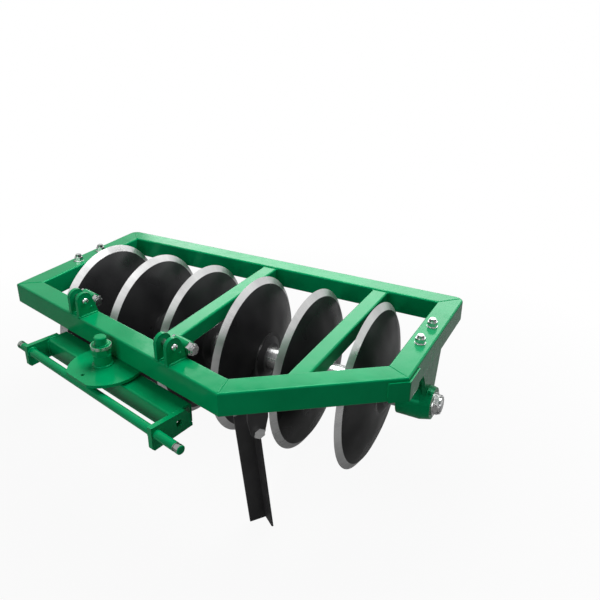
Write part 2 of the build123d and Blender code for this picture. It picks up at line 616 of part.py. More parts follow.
def stand_bracket():
    """The clevis under the angled rail that the leg hangs in, with its base plate on the rail."""
    rise = STAND_DROP
    half_base = STAND_EAR_BASE / 2
    ear_outline = make_face(Polyline(
        (-half_base, rise), (-half_base, rise - STAND_EAR_SHOULDER), (-STAND_EAR_RADIUS, 0),
        (STAND_EAR_RADIUS, 0), (half_base, rise - STAND_EAR_SHOULDER), (half_base, rise), close=True))
    ear_outline += Circle(STAND_EAR_RADIUS)
    ear_outline -= Circle(STAND_BOLT_RADIUS + RUNNING_FIT)
    ear = extrude(Plane.YZ * ear_outline, STAND_EAR_THICKNESS, dir=(1, 0, 0))
    clevis_length = STAND_CLEVIS_WIDTH + 2 * STAND_EAR_THICKNESS
    base = Box(clevis_length, STAND_EAR_BASE, STAND_BASE_THICKNESS,
               align=(Align.MIN, Align.CENTER, Align.MAX))
    bracket = Pos(-STAND_EAR_THICKNESS, 0, rise) * base
    bracket += Pos(-STAND_EAR_THICKNESS, 0, 0) * ear
    bracket += Pos(STAND_CLEVIS_WIDTH, 0, 0) * ear
    return stand_place * bracket


def stand_bolt():
    """The hinge bolt, with its head outside the clevis and its nut inside the frame."""
    outside = STAND_CLEVIS_WIDTH + STAND_EAR_THICKNESS
    nut_face = -STAND_EAR_THICKNESS
    nut_end = nut_face - 1.5 * STAND_BOLT_HEAD
    bolt = cylinder(STAND_BOLT_RADIUS, nut_end - STAND_BOLT_RADIUS / 2, outside + 1)
    bolt += hexagon(STAND_BOLT_FLATS, outside, outside + STAND_BOLT_HEAD)
    bolt += hexagon(STAND_BOLT_FLATS, nut_end, nut_face)
    return stand_place * along_x(bolt)


def stand_spacer():
    """The tube on the hinge bolt that holds the leg against the inner ear."""
    start = FACE_GAP + STAND_WALL + FACE_GAP
    tube = cylinder(STAND_SPACER_RADIUS, start, STAND_CLEVIS_WIDTH)
    tube -= cylinder(STAND_BOLT_RADIUS + RUNNING_FIT, start - 1, STAND_CLEVIS_WIDTH + 1)
    return stand_place * along_x(tube)


def stand_leg():
    """An angle section that leans rearwards. Its narrow flange is cut away round the bolt, and its
    foot is cut level at the ground."""
    length = hinge_z / cos(radians(STAND_LEAN)) + STAND_WIDE_FLANGE
    wide = Box(STAND_WALL, STAND_WIDE_FLANGE, length + STAND_TOP, align=(Align.MIN, Align.MAX, Align.MIN))
    narrow = Box(STAND_NARROW_FLANGE, STAND_WALL, length - STAND_CUT_BELOW,
                 align=(Align.MIN, Align.MAX, Align.MIN))
    leg = Pos(FACE_GAP, STAND_HEEL, -length) * (wide + narrow)
    leg -= along_x(cylinder(STAND_BOLT_RADIUS + RUNNING_FIT, -1, STAND_NARROW_FLANGE))
    leg = stand_place * Rot(STAND_LEAN, 0, 0) * leg
    ground = Box(1000, 1000, 500, align=(Align.CENTER, Align.CENTER, Align.MAX))
    return leg - Pos(hinge.X, hinge.Y, 0) * ground


# ---------------------------------------------------------------- assembly
def assemble():
    """All pieces by node name, about the gang axle's middle."""
    pieces = {**rails(), **cross_members(), "corner_plate": corner_plate()}
    for side, name in ((-1, "left"), (1, "right")):
        pieces[f"bearing_housing_{name}"] = bearing_housing(side)
        pieces[f"bearing_bolts_{name}"] = bearing_bolts(side)
        lug_place = front_rail_place * Pos(LUG_MIDDLE_S + side * LUG_SPREAD / 2, 0, 0)
        shift = SLEEVE_SHIFT[0] if side < 0 else SLEEVE_SHIFT[1]
        pieces[f"lug_{name}"] = lug_place * lug_ears()
        pieces[f"lug_pin_{name}"] = lug_place * lug_pin()
        pieces[f"link_sleeve_{name}"] = lug_place * link_sleeve(shift)
        pieces[f"link_pin_{name}"] = lug_place * link_pin(shift)
        pieces[f"hitch_side_{name}"] = front_rail_place * side_plate(side)
    pieces["turntable_plate"] = front_rail_place * turntable_plate()
    pieces["kingpin_boss"] = front_rail_place * kingpin_boss()
    pieces["kingpin"] = front_rail_place * kingpin()
    pieces["kingpin_nut"] = front_rail_place * kingpin_nut()
    pieces["lower_turntable_plate"] = front_rail_place * lower_plate()
    pieces["hitch_channel"] = front_rail_place * hitch_channel()
    pieces["pivot_bar"] = front_rail_place * pivot_bar()
    pieces["stand_bracket"] = stand_bracket()
    pieces["stand_bolt"] = stand_bolt()
    pieces["stand_spacer"] = stand_spacer()
    pieces["stand_leg"] = stand_leg()
    pieces.update(gang())
    return pieces


pieces = assemble()
# The lowest and highest Y of all pieces give the plan centre.
spans = [piece.bounding_box() for piece in pieces.values()]
plan_centre_y = (max(span.max.Y for span in spans) + min(span.min.Y for span in spans)) / 2
for name, piece in pieces.items():
    export_step(Pos(0, -plan_centre_y, 0) * piece, f"parts/{name}.step")

# Where the joints and the mounts lie in the finished assembly.
bar_z = channel_top - PIVOT_BAR_DROP
rail_points = {
    "kingpin": (KINGPIN_S, -KINGPIN_OFFSET, -RAIL_SIZE),
    "side plate hole": (HITCH_S + side_face - SIDE_PLATE_THICKNESS / 2, SIDE_PLATE_HOLE[0],
                        channel_top + SIDE_PLATE_HOLE[1]),
    "left lug": (LUG_MIDDLE_S - LUG_SPREAD / 2, 0, 0),
    "right lug": (LUG_MIDDLE_S + LUG_SPREAD / 2, 0, 0),
}
for side, length, radius in bar_ends:
    name = "left" if side < 0 else "right"
    middle = HITCH_S + side * (side_face + (length - PIVOT_BAR_CHAMFER) / 2)
    rail_points[f"pivot bar, {name} end"] = (middle, -PIVOT_BAR_OFFSET, bar_z)
points = {"gang axle": (0, 0, axle_z), "stand bolt": (hinge.X, hinge.Y, hinge_z)}
for name, point in rail_points.items():
    points[name] = tuple((front_rail_place * Pos(*point)).position)
for name, (x, y, z) in points.items():
    print(name, round(x, 2), round(y - plan_centre_y, 2), round(z, 2))
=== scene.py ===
import math
import bmesh
import bpy
from mathutils import Matrix, Vector


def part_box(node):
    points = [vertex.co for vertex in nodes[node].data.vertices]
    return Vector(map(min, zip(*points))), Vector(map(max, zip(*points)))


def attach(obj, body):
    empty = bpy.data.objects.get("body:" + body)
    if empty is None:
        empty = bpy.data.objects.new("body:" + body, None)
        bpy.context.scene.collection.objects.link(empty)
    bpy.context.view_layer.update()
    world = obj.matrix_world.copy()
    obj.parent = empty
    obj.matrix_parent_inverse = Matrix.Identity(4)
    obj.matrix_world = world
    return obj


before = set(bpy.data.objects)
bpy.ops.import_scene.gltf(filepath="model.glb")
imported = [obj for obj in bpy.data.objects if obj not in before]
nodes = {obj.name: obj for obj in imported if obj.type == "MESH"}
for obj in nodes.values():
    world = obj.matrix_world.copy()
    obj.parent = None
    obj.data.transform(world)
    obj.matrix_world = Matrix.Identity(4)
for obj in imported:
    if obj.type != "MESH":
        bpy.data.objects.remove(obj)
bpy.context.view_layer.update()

bpy.ops.object.select_all(action="DESELECT")


# ---------------------------------------------------------------- box-section frame
# Five lengths of square tube mitred into a loop, with two cross tubes, all welded and then
# sprayed with a glossy green enamel that lies thick and slightly wavy on the steel.
def node_adder(tree):
    """A way to add a node to the tree. Each of its inputs is given a link or a value."""
    def add(kind, inputs=(), **settings):
        node = tree.nodes.new(kind)
        for key, value in settings.items():
            if hasattr(node, key):
                setattr(node, key, value)
            else:
                node.inputs[key.replace("_", " ")].default_value = value
        for socket, source in inputs:
            if isinstance(source, bpy.types.NodeSocket):
                tree.links.new(source, node.inputs[socket])
            else:
                node.inputs[socket].default_value = source
        return node

    return add


def new_finish(name):
    """A material for one finish, with its shader, and ways to add nodes and wire them to it."""
    finish = bpy.data.materials.new(name)
    finish.use_nodes = True
    shader = finish.node_tree.nodes["Principled BSDF"]

    def wire(source, socket):
        finish.node_tree.links.new(source, shader.inputs[socket])

    return finish, shader, node_adder(finish.node_tree), wire


def dress(finish, *names):
    """Puts the finish on CAD nodes."""
    for name in names:
        if not nodes[name].material_slots:
            nodes[name].data.materials.append(finish)
        for slot in nodes[name].material_slots:
            slot.material = finish


def two_tones(add, factor, first, second):
    """A mix of two colours, each given as a colour or as a socket."""
    mix = add("ShaderNodeMix", [("Factor", factor)], data_type="RGBA")
    colour_inputs = [socket for socket in mix.inputs if socket.type == "RGBA"]
    for socket, colour in zip(colour_inputs, (first, second)):
        if isinstance(colour, bpy.types.NodeSocket):
            mix.id_data.links.new(colour, socket)
        else:
            socket.default_value = (*colour, 1)
    return [socket for socket in mix.outputs if socket.type == "RGBA"][0]


def cloudy(add, place, scale, low, high, detail=4.0):
    """A value that drifts between low and high over the surface."""
    noise = add("ShaderNodeTexNoise", [("Vector", place)], Scale=scale, Detail=detail)
    level = add("ShaderNodeMapRange", [("Value", noise.outputs["Fac"])], From_Min=0.3,
                From_Max=0.7, To_Min=low, To_Max=high)
    return level.outputs["Result"]


def spray_enamel(name):
    """Glossy green paint over steel, with the sockets that a variant with bare ends or a painted highlight
    mixes into.
    """
    thin_coat = (0.000, 0.235, 0.080)
    thick_coat = (0.001, 0.285, 0.100)
    paint, shader, add, wire = new_finish(name)
    place = add("ShaderNodeTexCoord").outputs["Object"]
    green = two_tones(add, cloudy(add, place, 6.0, 0.0, 1.0), thin_coat, thick_coat)
    wire(green, "Base Color")
    wire(cloudy(add, place, 26.0, 0.10, 0.24), "Roughness")
    wave = add("ShaderNodeTexNoise", [("Vector", place)], Scale=20.0, Detail=2.0)
    waves = add("ShaderNodeBump", [("Height", wave.outputs["Fac"])], Strength=0.16, Distance=0.003)
    peel = add("ShaderNodeTexNoise", [("Vector", place)], Scale=240.0, Detail=2.0)
    skin = add("ShaderNodeBump", [("Height", peel.outputs["Fac"]), ("Normal", waves.outputs["Normal"])],
               Strength=0.05, Distance=0.0005)
    wire(skin.outputs["Normal"], "Normal")
    shader.inputs["Specular IOR Level"].default_value = 0.26
    shader.inputs["Specular Tint"].default_value = (0.05, 1.0, 0.45, 1)
    return paint, add, wire, place, green


enamel = spray_enamel("green enamel")[0]
dress(enamel, "front_rail", "angled_rail", "right_rail", "rear_rail", "left_rail",
      "cross_member_1", "cross_member_2", "corner_plate")

# Where the frame's outer corners lie, and the directions of the slanted front rail.
rail_low, rail_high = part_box("left_rail")
rail_top = rail_high.z
rail_size = rail_high.z - rail_low.z
left_front = Vector((rail_low.x, rail_low.y, rail_top))
apex = Vector((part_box("front_rail")[1].x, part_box("front_rail")[0].y, rail_top))
right_front = Vector((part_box("right_rail")[1].x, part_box("right_rail")[0].y, rail_top))
right_rear = Vector((right_front.x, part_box("rear_rail")[1].y, rail_top))
left_rear = Vector((left_front.x, right_rear.y, rail_top))
up = Vector((0, 0, 1))
forward = Vector((0, -1, 0))
along_front = (apex - left_front).normalized()
behind_front = Vector((-along_front.y, along_front.x, 0))
along_angled = (right_front - apex).normalized()


def on_front_rail(run, inward, rise):
    """A place by the front rail: along it from the left, rearwards from its face, above its top."""
    return left_front + along_front * run + behind_front * inward + up * rise


def pick(piece, kind, test):
    """Selects, in edit mode, only the elements that pass the test."""
    bpy.ops.mesh.select_mode(type=kind)
    bpy.ops.mesh.select_all(action="DESELECT")
    mesh = bmesh.from_edit_mesh(piece.data)
    for element in {"VERT": mesh.verts, "EDGE": mesh.edges, "FACE": mesh.faces}[kind]:
        if test(element):
            element.select_set(True)
    bmesh.update_edit_mesh(piece.data)


def turned_to(point, direction):
    """A place at the point, with Z turned along the direction."""
    return Matrix.Translation(point) @ direction.to_track_quat("Z", "Y").to_matrix().to_4x4()


def fit(piece, name, place, finish, body, crease=35):
    """Puts a shaped piece at its place, smooths it below the crease angle, and fixes it to its body."""
    bpy.ops.object.mode_set(mode="OBJECT")
    bpy.ops.object.select_all(action="DESELECT")
    piece.select_set(True)
    bpy.context.view_layer.objects.active = piece
    piece.matrix_world = place @ piece.matrix_world
    bpy.ops.object.transform_apply(location=True, rotation=True, scale=True)
    bpy.ops.object.shade_smooth_by_angle(angle=math.radians(crease))
    piece.name = name
    piece.data.name = name
    piece.data.materials.clear()
    piece.data.materials.append(finish)
    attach(piece, body)
    bpy.ops.object.select_all(action="DESELECT")


ripple_pitch = 0.0045
ripple_waist = 0.86
bead_end = 0.55
bead_crease = 70


def weld(name, start, end, radius, body="frame"):
    """A bead of weld from start to end, under the paint, with the ripples that its puddles leave."""
    length = (end - start).length
    ripples = max(3, round(length / ripple_pitch))
    bpy.ops.mesh.primitive_cylinder_add(vertices=12, radius=radius, depth=length, location=(0, 0, 0))
    bead = bpy.context.object
    bpy.ops.object.mode_set(mode="EDIT")
    pick(bead, "EDGE", lambda edge: abs(edge.verts[0].co.z - edge.verts[1].co.z) > length / 2)
    bpy.ops.mesh.subdivide(number_cuts=2 * ripples - 1)
    step = length / (2 * ripples)
    pick(bead, "VERT", lambda corner: round((corner.co.z + length / 2) / step) % 2 == 1)
    bpy.ops.transform.resize(value=(ripple_waist, ripple_waist, 1), center_override=(0, 0, 0))
    pick(bead, "VERT", lambda corner: abs(corner.co.z) > length / 2 - 1e-5)
    bpy.ops.transform.resize(value=(bead_end, bead_end, 1), center_override=(0, 0, 0))
    place = turned_to((start + end) / 2, end - start)
    fit(bead, name, place, enamel, body, bead_crease)


# The mitres are welded over their tops, from near the outer corner to the inner one, and lie low.
mitre_bead = 0.0042
mitre_sunk = up * 0.0022
short_of_inner_corner = 0.003
sharp_corner = 0.009
rounded_corner = 0.021
for name, corner, first, second, start_in in (
    ("left_front", left_front, along_front, -forward, sharp_corner),
    ("apex", apex, -along_front, along_angled, sharp_corner),
    ("right_front", right_front, -along_angled, -forward, sharp_corner),
    ("right_rear", right_rear, forward, Vector((-1, 0, 0)), rounded_corner),
    ("left_rear", left_rear, forward, Vector((1, 0, 0)), rounded_corner),
):
    inward = (first + second).normalized()
    mitre_length = rail_size / math.sin(first.angle(second) / 2)
    weld(f"weld_mitre_{name}", corner + inward * start_in - mitre_sunk,
         corner + inward * (mitre_length - short_of_inner_corner) - mitre_sunk, mitre_bead)

# Each cross tube is welded to the rear rail up both its sides and over its top.
cross_bead = 0.0045
side_bead_length = 0.050
side_bead_below_top = 0.001
top_bead_inset = 0.003
rear_rail_inner = right_rear.y - rail_size
for number in (1, 2):
    low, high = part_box(f"cross_member_{number}")
    for side, x in (("left", low.x), ("right", high.x)):
        bead_top = Vector((x, rear_rail_inner, high.z - side_bead_below_top))
        weld(f"weld_cross_{number}_rear_{side}", bead_top - up * side_bead_length, bead_top, cross_bead)
    weld(f"weld_cross_{number}_rear_top", Vector((low.x + top_bead_inset, rear_rail_inner, high.z)),
         Vector((high.x - top_bead_inset, rear_rail_inner, high.z)), cross_bead)

# The bent plate round the right front corner is welded along its upright ends.
plate_bead = 0.004
plate_proud = 0.001
bead_past_plate = 0.0005
plate_reach = 0.0625
bead_above_plate_low = 0.014
plate_low, plate_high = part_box("corner_plate")
outward = Vector((along_angled.y, -along_angled.x, 0))
angled_end = right_front - along_angled * plate_reach + outward * plate_proud
right_end = Vector((right_front.x + plate_proud, plate_high.y + bead_past_plate, 0))
for name, end in (("angled", angled_end), ("right", right_end)):
    weld(f"weld_corner_plate_{name}", Vector((end.x, end.y, plate_low.z + bead_above_plate_low)),
         Vector((end.x, end.y, plate_high.z)), plate_bead)


# ---------------------------------------------------------------- lugs on the front rail
# Two pairs of flame-cut ears welded across the rail, each with a pin whose end is riveted to a
# bright dome. Pins, bolts, nuts and spools are zinc plated, and fillet welds run by the ears' feet.
dress(enamel, "lug_left", "lug_right", "link_sleeve_left", "link_sleeve_right")

zinc, shader, add, wire = new_finish("zinc plate")
place = add("ShaderNodeTexCoord").outputs["Object"]
dull_zinc = (0.56, 0.57, 0.58)
bright_zinc = (0.68, 0.68, 0.67)
wire(two_tones(add, cloudy(add, place, 40.0, 0.0, 1.0, 1.0), dull_zinc, bright_zinc), "Base Color")
wire(cloudy(add, place, 60.0, 0.20, 0.27, 1.0), "Roughness")
shader.inputs["Metallic"].default_value = 1.0
plated = ("spool", "end_sleeve", "shaft_", "bearing_bolts", "lug_pin", "link_pin", "stand_bolt",
          "stand_spacer", "gang_shaft")
dress(zinc, *[name for name in nodes if name.startswith(plated)])


def dome(name, point, direction, radius, rise, finish):
    """A rounded end, pressed up on a pin or a rivet."""
    bpy.ops.mesh.primitive_uv_sphere_add(segments=32, ring_count=16, radius=radius, location=(0, 0, 0))
    button = bpy.context.object
    bpy.ops.object.mode_set(mode="EDIT")
    bpy.ops.mesh.select_all(action="SELECT")
    bpy.ops.mesh.bisect(plane_co=(0, 0, 0.05 * radius), plane_no=(0, 0, 1), use_fill=True,
                        clear_inner=True)
    bpy.ops.mesh.select_all(action="SELECT")
    bpy.ops.transform.resize(value=(1, 1, rise / radius), center_override=(0, 0, 0))
    fit(button, name, turned_to(point, direction), finish, "frame")


pin_inward = 0.030
pin_end = 0.035
ear_outside = 0.031
rivet_inward = 0.052
rivet_above_rail = 0.026
foot_bead = 0.0052
foot_bead_front = 0.006
foot_bead_rear = 0.073
foot_bead_rise = 0.0005
front_bead = 0.0046
front_bead_inward = 0.003
front_bead_half = 0.009
ear_middle = 0.024
for side in ("left", "right"):
    pin_low, pin_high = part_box(f"lug_pin_{side}")
    lug_low, lug_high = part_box(f"lug_{side}")
    middle = ((lug_low + lug_high) / 2 - left_front).dot(along_front)
    pin_rise = (pin_low.z + pin_high.z) / 2 - rail_top
    dome(f"lug_pin_end_{side}", on_front_rail(middle + pin_end, pin_inward, pin_rise), along_front,
         radius=0.0108, rise=0.0055, finish=zinc)
    dome(f"lug_rivet_{side}", on_front_rail(middle + ear_outside, rivet_inward, rivet_above_rail),
         along_front, radius=0.0052, rise=0.004, finish=enamel)
    for foot, aside in (("outer_left", -0.032), ("inner_left", -0.016), ("inner_right", 0.016),
                        ("outer_right", 0.032)):
        weld(f"weld_lug_{side}_{foot}", on_front_rail(middle + aside, foot_bead_front, foot_bead_rise),
             on_front_rail(middle + aside, foot_bead_rear, foot_bead_rise), foot_bead)
    for ear, aside in (("left", middle - ear_middle), ("right", middle + ear_middle)):
        weld(f"weld_lug_{side}_front_{ear}", on_front_rail(aside - front_bead_half, front_bead_inward, 0),
             on_front_rail(aside + front_bead_half, front_bead_inward, 0), front_bead)


# ---------------------------------------------------------------- dished discs
# Six dished blades of hardened boron steel. Each is sprayed satin black, and then its cutting
# edge is ground to a bevel on the bulging side, bright, with grinding streaks and painted reflection bands.
blade_finish, _, add, wire = new_finish("blade paint and ground edge")
coords = add("ShaderNodeTexCoord")
place = coords.outputs["Object"]
disc_low, disc_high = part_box("disc_1")
axle = Vector((0, (disc_low.y + disc_high.y) / 2, (disc_low.z + disc_high.z) / 2))
blade_radius = (disc_high.z - disc_low.z) / 2
bevel_start = blade_radius - 0.0246
bevel_blur = 0.0006
edge_start = blade_radius - 0.0014
edge_blur = 0.0002

centred = add("ShaderNodeMapping", [("Vector", place), ("Location", -axle)], vector_type="POINT")
from_axle = add("ShaderNodeVectorMath", [(0, centred.outputs["Vector"]), (1, (0, 1, 1))],
                operation="MULTIPLY")
radius = add("ShaderNodeVectorMath", [(0, from_axle.outputs["Vector"])], operation="LENGTH")
spoke = add("ShaderNodeVectorMath", [(0, from_axle.outputs["Vector"])], operation="NORMALIZE")
facing = add("ShaderNodeSeparateXYZ", [("Vector", coords.outputs["Normal"])])
on_bevel = add("ShaderNodeMapRange", [("Value", radius.outputs["Value"])],
               From_Min=bevel_start - bevel_blur, From_Max=bevel_start + bevel_blur)
bulging = add("ShaderNodeMapRange", [("Value", facing.outputs["X"])], From_Min=0.3, From_Max=0.5)
on_edge = add("ShaderNodeMapRange", [("Value", radius.outputs["Value"])],
              From_Min=edge_start - edge_blur, From_Max=edge_start + edge_blur)
bevel = add("ShaderNodeMath", [(0, on_bevel.outputs["Result"]), (1, bulging.outputs["Result"])],
            operation="MULTIPLY")
ground = add("ShaderNodeMath", [(0, bevel.outputs["Value"]), (1, on_edge.outputs["Result"])],
             operation="MAXIMUM").outputs["Value"]
# Grey to near-white bands round the bevel: partly grinding streaks, partly painted reflection.
grind_and_reflection_streaks = add("ShaderNodeTexNoise", [("Vector", spoke.outputs["Vector"])], Scale=5.0, Detail=8.0,
              Roughness=0.7)
steel = two_tones(add, grind_and_reflection_streaks.outputs["Fac"], (0.50, 0.50, 0.51), (0.98, 0.98, 0.97))
black = two_tones(add, cloudy(add, place, 9.0, 0.0, 1.0, 6.0), (0.012, 0.012, 0.013),
                  (0.023, 0.023, 0.024))
wire(two_tones(add, ground, black, steel), "Base Color")
wire(ground, "Metallic")
wire(cloudy(add, place, 8.0, 0.24, 0.46, 1.0), "Roughness")
wire(cloudy(add, place, 5.0, 0.08, 0.50, 1.0), "Specular IOR Level")
orange_peel = add("ShaderNodeTexNoise", [("Vector", place)], Scale=210.0, Detail=2.0)
skin = add("ShaderNodeBump", [("Height", orange_peel.outputs["Fac"])], Strength=0.06, Distance=0.0006)
wire(skin.outputs["Normal"], "Normal")
dress(blade_finish, *[name for name in nodes if name.startswith("disc_")])


# ---------------------------------------------------------------- black painted steel
# The hub flanges, and the angle-section parking leg with its clevis. All are dipped in black
# paint, which dries a little cloudy and shows the mill scale under it.
black_paint, shader, add, wire = new_finish("black paint")
place = add("ShaderNodeTexCoord").outputs["Object"]
wire(two_tones(add, cloudy(add, place, 14.0, 0.0, 1.0, 5.0), (0.022, 0.022, 0.023),
               (0.036, 0.036, 0.037)), "Base Color")
wire(cloudy(add, place, 30.0, 0.34, 0.52), "Roughness")
mill_scale = add("ShaderNodeTexNoise", [("Vector", place)], Scale=180.0, Detail=3.0)
skin = add("ShaderNodeBump", [("Height", mill_scale.outputs["Fac"])], Strength=0.10, Distance=0.0008)
wire(skin.outputs["Normal"], "Normal")
shader.inputs["Specular IOR Level"].default_value = 0.35
dress(black_paint, "stand_leg", "stand_bracket", *[name for name in nodes if name.startswith("hub_flange")])


# ---------------------------------------------------------------- bearing housings
# Two iron castings under the end rails, each with a grease nipple. Two long bolts hold each one,
# with a washer and a self-locking nut on top of the rail.
cast_enamel = spray_enamel("green enamel on casting")[0]
dress(cast_enamel, "bearing_housing_left", "bearing_housing_right")

nylon, shader, add, wire = new_finish("blue-grey nylon")
place = add("ShaderNodeTexCoord").outputs["Object"]
wire(two_tones(add, cloudy(add, place, 300.0, 0.0, 1.0), (0.030, 0.034, 0.040), (0.060, 0.066, 0.074)),
     "Base Color")
shader.inputs["Roughness"].default_value = 0.5


def flat_ring(name, point, inner, outer, height, finish, body="frame"):
    """A washer that lies level: a short tube with a wall and softened edges."""
    bpy.ops.mesh.primitive_cylinder_add(vertices=48, radius=outer, depth=height, location=(0, 0, 0))
    washer = bpy.context.object
    bpy.ops.object.mode_set(mode="EDIT")
    pick(washer, "FACE", lambda face: abs(face.normal.z) > 0.9)
    bpy.ops.mesh.inset(thickness=outer - inner, depth=0)
    pick(washer, "FACE",
         lambda face: abs(face.normal.z) > 0.9 and face.calc_center_median().xy.length < 1e-5)
    bpy.ops.mesh.bridge_edge_loops()
    bpy.ops.object.mode_set(mode="OBJECT")
    soften = washer.modifiers.new("soften", "BEVEL")
    soften.width = min(0.0006, height / 5)
    soften.segments = 2
    soften.limit_method = "ANGLE"
    bpy.ops.object.modifier_apply(modifier=soften.name)
    fit(washer, name, turned_to(point, up), finish, body)


def grease_nipple(name, point, direction):
    """A hexagon, a neck and a ball, turned from one bar and painted with the casting."""
    bpy.ops.mesh.primitive_cylinder_add(vertices=6, radius=0.0060, depth=0.006, location=(0, 0, 0.003))
    nipple = bpy.context.object
    bpy.ops.object.mode_set(mode="EDIT")
    pick(nipple, "FACE", lambda face: face.normal.z > 0.9)
    shoulder = 1 - 0.0022 / 0.006
    ball_tip = 1 - 0.0018 / 0.006
    for width, rise, new_step in ((shoulder, 0.004, True), (1.4, 0.0018, False), (1, 0.0016, False),
                                  (ball_tip, 0.0016, True)):
        if new_step:
            bpy.ops.mesh.extrude_region_move(TRANSFORM_OT_translate={"value": (0, 0, 0)})
        bpy.ops.transform.resize(value=(width, width, 1), center_override=(0, 0, 0))
        bpy.ops.mesh.extrude_region_move(TRANSFORM_OT_translate={"value": (0, 0, rise)})
    bpy.ops.object.mode_set(mode="OBJECT")
    rounding = nipple.modifiers.new("rounding", "BEVEL")
    rounding.width = 0.0005
    rounding.segments = 2
    bpy.ops.object.modifier_apply(modifier=rounding.name)
    fit(nipple, name, turned_to(point, direction), cast_enamel, "frame")


half_bolt_spacing = 0.065
insert_below_nut_top = 0.0037
washer_thickness = 0.0016
nipple_along_axle = 0.779
nipple_out = 0.0575
nipple_lean = math.radians(28)
lean = Vector((0, -math.sin(nipple_lean), math.cos(nipple_lean)))
for side, outside in (("left", -1), ("right", 1)):
    bolt_low, bolt_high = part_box(f"bearing_bolts_{side}")
    bolt_middle = (bolt_low + bolt_high) / 2
    for number, aside in ((1, -half_bolt_spacing), (2, half_bolt_spacing)):
        bolt = Vector((bolt_middle.x, bolt_middle.y + aside, 0))
        flat_ring(f"bearing_bolt_insert_{side}_{number}", bolt + up * (bolt_high.z - insert_below_nut_top),
                  inner=0.0099, outer=0.0118, height=0.0014, finish=nylon)
        flat_ring(f"bearing_bolt_washer_{side}_{number}", bolt + up * (rail_top + washer_thickness / 2),
                  inner=0.0150, outer=0.0185, height=washer_thickness, finish=zinc)
    grease_nipple(f"grease_nipple_{side}",
                  axle + Vector((outside * nipple_along_axle, 0, 0)) + lean * nipple_out, lean)


# ---------------------------------------------------------------- swivel hitch
# A round plate under the front rail turns on a plate welded to a channel, about a thick kingpin
# with a flanged nut. Two end plates carry a round bar, bare at its turned ends.
dress(enamel, "turntable_plate", "kingpin_boss", "kingpin", "lower_turntable_plate",
      "hitch_channel", "hitch_side_left", "hitch_side_right")

# On the bar, the paint stops in a ragged line short of the bare ends, and starts again on the tips.
bar_finish, add, wire, place, green = spray_enamel("green enamel and bare bar ends")
bar_low, bar_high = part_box("pivot_bar")
bar_middle = (bar_low + bar_high) / 2
bar_half = (bar_high.x - bar_low.x) / 2 / along_front.x
paint_ragged_by = 0.010
bare_start = bar_half - 0.022
bare_end = bar_half - 0.001
paint_line_blur = 0.0005
bare_steel = (0.42, 0.42, 0.41)
centred = add("ShaderNodeVectorMath", [(0, place), (1, bar_middle)], operation="SUBTRACT")
along_bar = add("ShaderNodeVectorMath", [(0, centred.outputs["Vector"]), (1, along_front)],
                operation="DOT_PRODUCT")
from_middle = add("ShaderNodeMath", [(0, along_bar.outputs["Value"])], operation="ABSOLUTE")
ragged = add("ShaderNodeTexNoise", [("Vector", place)], Scale=110.0, Detail=4.0)
reach = add("ShaderNodeMath", [(0, ragged.outputs["Fac"]), (1, paint_ragged_by),
                               (2, from_middle.outputs["Value"])], operation="MULTIPLY_ADD")
bare_from = add("ShaderNodeMapRange", [("Value", reach.outputs["Value"])],
                From_Min=bare_start - paint_line_blur, From_Max=bare_start + paint_line_blur)
bare_to = add("ShaderNodeMapRange", [("Value", reach.outputs["Value"])],
              From_Min=bare_end - paint_line_blur, From_Max=bare_end + paint_line_blur,
              To_Min=1.0, To_Max=0.0)
bare = add("ShaderNodeMath", [(0, bare_from.outputs["Result"]), (1, bare_to.outputs["Result"])],
           operation="MULTIPLY").outputs["Value"]
wire(two_tones(add, bare, green, bare_steel), "Base Color")
wire(bare, "Metallic")
dress(bar_finish, "pivot_bar")

# The flanged nut has a painted highlight round the rim of its flange: a pale, part-metal band with a ragged
# edge.
nut_finish, add, wire, place, green = spray_enamel("green enamel with painted rim highlight")
nut_low, nut_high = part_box("kingpin_nut")
nut_middle = (nut_low + nut_high) / 2
rim_ragged_by = 0.012
rim_highlight_colour = (0.55, 0.62, 0.57)
centred = add("ShaderNodeVectorMath", [(0, place), (1, nut_middle)], operation="SUBTRACT")
from_pin = add("ShaderNodeVectorMath", [(0, centred.outputs["Vector"]), (1, (1, 1, 0))],
               operation="MULTIPLY")
radius = add("ShaderNodeVectorMath", [(0, from_pin.outputs["Vector"])], operation="LENGTH")
ragged = add("ShaderNodeTexNoise", [("Vector", place)], Scale=70.0, Detail=4.0)
reach = add("ShaderNodeMath", [(0, ragged.outputs["Fac"]), (1, rim_ragged_by),
                               (2, radius.outputs["Value"])], operation="MULTIPLY_ADD")
# Painted highlight: pale green-white round the flange's rim, where the light catches the edge.
painted_rim_highlight = add("ShaderNodeMapRange", [("Value", reach.outputs["Value"])], From_Min=0.0385,
             From_Max=0.0400).outputs["Result"]
rim_highlight_metallic = add("ShaderNodeMath", [(0, painted_rim_highlight), (1, 0.8)], operation="MULTIPLY")
wire(two_tones(add, painted_rim_highlight, green, rim_highlight_colour), "Base Color")
wire(rim_highlight_metallic.outputs["Value"], "Metallic")
dress(nut_finish, "kingpin_nut")

# A thick painted washer lies on the nut, round the kingpin's end.
nut_washer_thickness = 0.003
flat_ring("kingpin_washer", Vector((nut_middle.x, nut_middle.y, nut_high.z + nut_washer_thickness / 2)),
          inner=0.0202, outer=0.0265, height=nut_washer_thickness, finish=enamel,
          body="hitch")


def weld_round(name, point, direction, radius, bead_radius, body):
    """A ring of weld about a round foot, rippled like the straight beads."""
    ripples = max(8, round(2 * math.pi * radius / ripple_pitch))
    bpy.ops.mesh.primitive_torus_add(major_segments=2 * ripples, minor_segments=12,
                                     major_radius=radius, minor_radius=bead_radius, location=(0, 0, 0))
    bead = bpy.context.object
    bpy.ops.object.mode_set(mode="EDIT")
    turn = math.pi / ripples
    pick(bead, "VERT", lambda corner: round(math.atan2(corner.co.y, corner.co.x) / turn) % 2 == 1)
    bpy.ops.transform.shrink_fatten(value=-bead_radius * (1 - ripple_waist))
    fit(bead, name, turned_to(point, direction), enamel, body, bead_crease)


